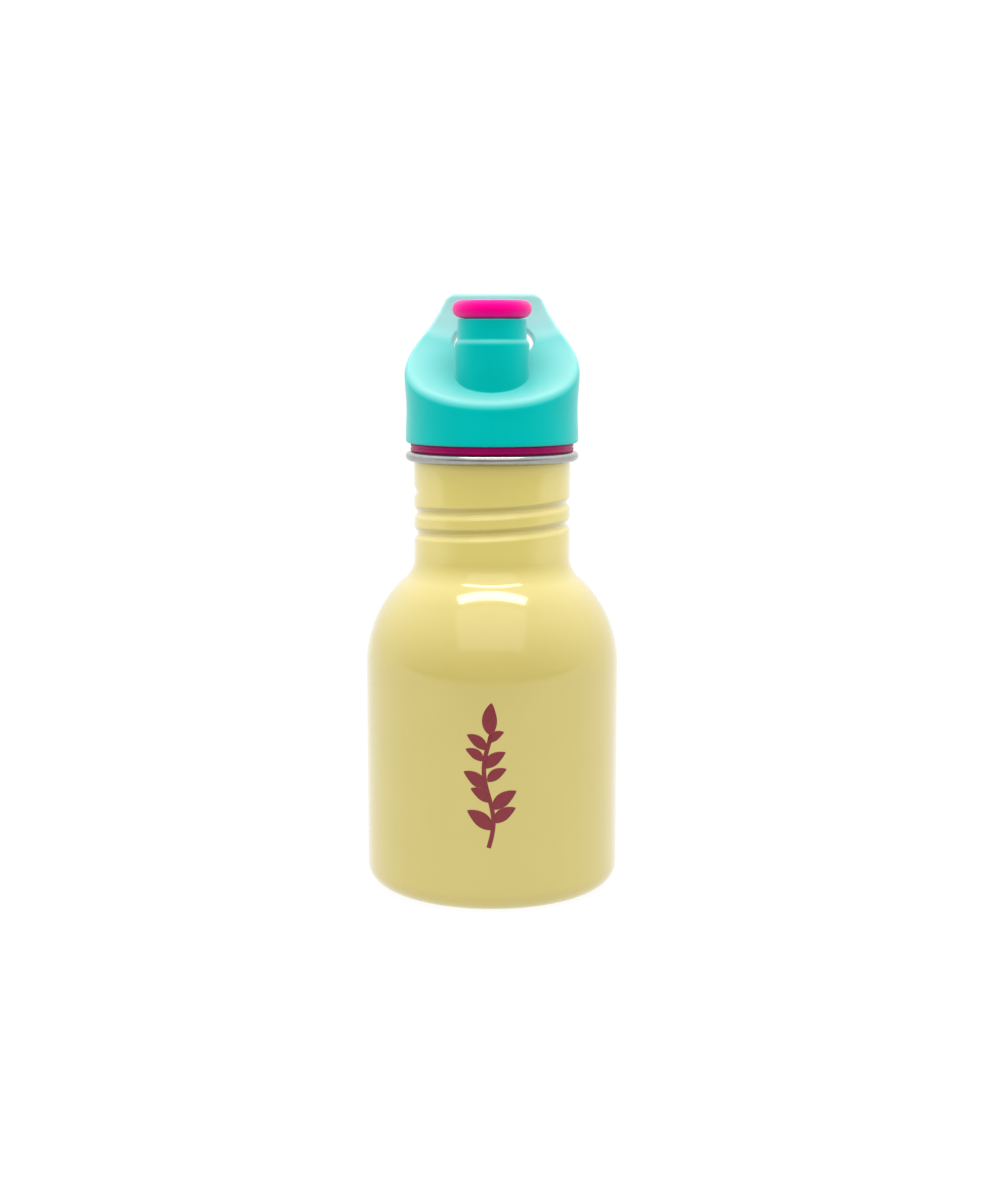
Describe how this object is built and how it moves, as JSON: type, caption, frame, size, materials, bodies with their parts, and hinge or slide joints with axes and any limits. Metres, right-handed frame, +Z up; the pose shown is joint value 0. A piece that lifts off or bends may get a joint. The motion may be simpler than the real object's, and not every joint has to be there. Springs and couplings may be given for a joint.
{
  "type": "kids water bottle",
  "caption": "Small round-shouldered steel bottle with a threaded neck and a screw-on sport cap with finger-loop handle, spout tube and push-pull mouthpiece.",
  "frame": {"origin": "centre of the flat standing ring under the bottle", "axes": "+Z up along the bottle's axis, +Y towards the handle side of the cap, -Y the cap's low front"},
  "size_m": [0.073, 0.073, 0.1705],
  "materials": {
    "gloss_paint": "smooth gloss enamel over thin stainless steel",
    "bare_steel": "turned bare stainless steel",
    "ring_silicone": "satin silicone",
    "cap_plastic": "satin-gloss moulded polypropylene",
    "plug_plastic": "satin moulded polypropylene",
    "clear_silicone": "milky silicone",
    "tip_silicone": "soft satin silicone"
  },
  "bodies": {
    "bottle": {"bottle_shell": "gloss_paint", "base_disc": "bare_steel"},
    "seal": {"seal_ring": "ring_silicone"},
    "cap": {"cap_shell": "cap_plastic", "thread_plug": "plug_plastic", "vent_valve": "clear_silicone"},
    "nozzle": {"nozzle_slider": "cap_plastic", "nozzle_o_ring": "ring_silicone", "mouthpiece": "tip_silicone"}
  },
  "joints": [
    {"name": "cap_lift", "type": "slide", "parent": "bottle", "child": "seal", "axis": [0, 0, 1], "range_m": [0, 0.0271]},
    {"name": "cap_turn", "type": "hinge", "parent": "seal", "child": "cap", "pos_m": [0, 0, 0.11], "axis": [0, 0, 1], "range_deg": [0, 1620]},
    {"name": "nozzle_pull", "type": "slide", "parent": "cap", "child": "nozzle", "axis": [0, 0, 1], "range_m": [0, 0.005]}
  ],
  "couplings": [
    {"joint": "cap_lift", "follows": "cap_turn", "m_per_rad": 0.00095493}
  ]
}
